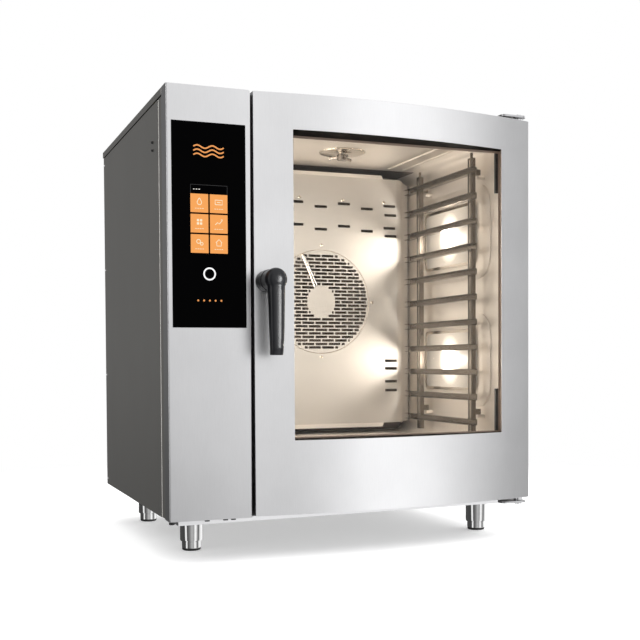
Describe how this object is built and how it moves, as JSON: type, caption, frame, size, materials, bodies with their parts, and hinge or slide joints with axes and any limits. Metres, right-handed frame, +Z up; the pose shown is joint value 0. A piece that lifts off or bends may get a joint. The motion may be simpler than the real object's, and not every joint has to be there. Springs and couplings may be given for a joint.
{
  "type": "combi steamer oven",
  "caption": "Free-standing electric combi steamer: bowed side-hinged door with a window, lit fan chamber with tray rails, glass control column, levelling feet.",
  "frame": {"origin": "on the floor, at the middle of the oven's footprint (its bounding box)", "axes": "+X to the oven's right as seen from its front, +Y to its back, +Z up"},
  "size_m": [0.933, 0.926, 1.096],
  "materials": {
    "stainless_casing": "fine vertical brushing, satin",
    "stainless_chamber": "bright smooth annealed sheet",
    "polished_steel": "polished",
    "bracket_steel": "satin",
    "dark_liner": "dark satin",
    "black_glass": "back-printed glass, gloss",
    "clear_glass": "clear, polished",
    "lamp_glass": "frosted, lit from behind",
    "dark_plastic": "moulded, satin",
    "silicone": "matt silicone",
    "mineral_wool": "fibrous",
    "circuit_board": "solder mask",
    "brass": "machined",
    "aluminium": "cast and pressed",
    "heater_steel": "heat-tinted"
  },
  "bodies": {
    "cabinet": {"left_side_panel": "stainless_casing", "right_side_panel": "stainless_casing", "rear_panel": "stainless_casing", "top_cover": "stainless_casing", "front_post_left": "stainless_casing", "column_cover": "stainless_casing", "front_frame": "stainless_casing", "base_frame": "stainless_casing", "drip_tray": "stainless_casing", "exhaust_stack": "stainless_casing", "chamber_shell": "stainless_chamber", "chamber_back": "stainless_chamber", "fan_baffle": "stainless_chamber", "spray_plate": "stainless_chamber", "injection_pipe": "polished_steel", "hinge_pin_top": "polished_steel", "hinge_pin_bottom": "polished_steel", "leg_sleeve_front_left": "polished_steel", "leg_sleeve_front_right": "polished_steel", "leg_sleeve_back_left": "polished_steel", "leg_sleeve_back_right": "polished_steel", "hinge_bracket_top": "bracket_steel", "hinge_bracket_bottom": "bracket_steel", "latch_keeper": "bracket_steel", "control_glass": "black_glass", "display_module": "black_glass", "lamp_glass_upper": "lamp_glass", "lamp_glass_lower": "lamp_glass", "cooling_fan_frame": "dark_plastic", "drain_box": "dark_plastic", "cable_gland": "dark_plastic", "door_seal": "silicone", "insulation_wrap": "mineral_wool", "control_board": "circuit_board", "water_valve_raw": "brass", "water_valve_treated": "brass", "lamp_housing_upper": "aluminium", "lamp_housing_lower": "aluminium", "fan_motor": "aluminium", "heating_element": "heater_steel"},
    "door": {"door_skin": "stainless_casing", "window_liner": "dark_liner", "outer_pane": "clear_glass", "inner_pane": "clear_glass", "door_inner_frame": "stainless_casing", "pane_hinge_upper": "dark_plastic", "pane_hinge_lower": "dark_plastic", "handle_boss": "dark_plastic"},
    "door_handle": {"door_handle": "dark_plastic", "latch_bolt": "polished_steel"},
    "fan": {"fan_wheel": "polished_steel"},
    "cooling_fan": {"cooling_fan_rotor": "dark_plastic"},
    "spray": {"spray_head": "polished_steel"},
    "rack_left": {"rack_left": "polished_steel"},
    "rack_right": {"rack_right": "polished_steel"},
    "sieve": {"drain_sieve": "polished_steel"},
    "foot_front_left": {"foot_front_left": "polished_steel"},
    "foot_front_right": {"foot_front_right": "polished_steel"},
    "foot_back_left": {"foot_back_left": "polished_steel"},
    "foot_back_right": {"foot_back_right": "polished_steel"}
  },
  "joints": [
    {"name": "door_swing", "type": "hinge", "parent": "cabinet", "child": "door", "pos_m": [0.4515, -0.301, 0.5735], "axis": [0, 0, 1], "range_deg": [0, 120]},
    {"name": "handle_turn", "type": "hinge", "parent": "door", "child": "door_handle", "pos_m": [-0.244, -0.413, 0.6255], "axis": [0, 1, 0], "range_deg": [-90, 90]},
    {"name": "fan_spin", "type": "hinge", "parent": "cabinet", "child": "fan", "pos_m": [0.1055, 0.268, 0.617], "axis": [0, 1, 0], "continuous": true},
    {"name": "cooling_fan_spin", "type": "hinge", "parent": "cabinet", "child": "cooling_fan", "pos_m": [-0.3465, 0.4015, 0.82], "axis": [0, 1, 0], "continuous": true},
    {"name": "spray_spin", "type": "hinge", "parent": "cabinet", "child": "spray", "pos_m": [0.0945, -0.005, 0.99], "axis": [0, 0, 1], "continuous": true},
    {"name": "rack_left_lift", "type": "slide", "parent": "cabinet", "child": "rack_left", "axis": [0, 0, 1], "range_m": [0, 0.012]},
    {"name": "rack_right_lift", "type": "slide", "parent": "cabinet", "child": "rack_right", "axis": [0, 0, 1], "range_m": [0, 0.012]},
    {"name": "sieve_lift", "type": "slide", "parent": "cabinet", "child": "sieve", "axis": [0, 0, 1], "range_m": [0, 0.03]},
    {"name": "foot_front_left_level", "type": "slide", "parent": "cabinet", "child": "foot_front_left", "axis": [0, 0, -1], "range_m": [0, 0.02]},
    {"name": "foot_front_right_level", "type": "slide", "parent": "cabinet", "child": "foot_front_right", "axis": [0, 0, -1], "range_m": [0, 0.02]},
    {"name": "foot_back_left_level", "type": "slide", "parent": "cabinet", "child": "foot_back_left", "axis": [0, 0, -1], "range_m": [0, 0.02]},
    {"name": "foot_back_right_level", "type": "slide", "parent": "cabinet", "child": "foot_back_right", "axis": [0, 0, -1], "range_m": [0, 0.02]}
  ]
}
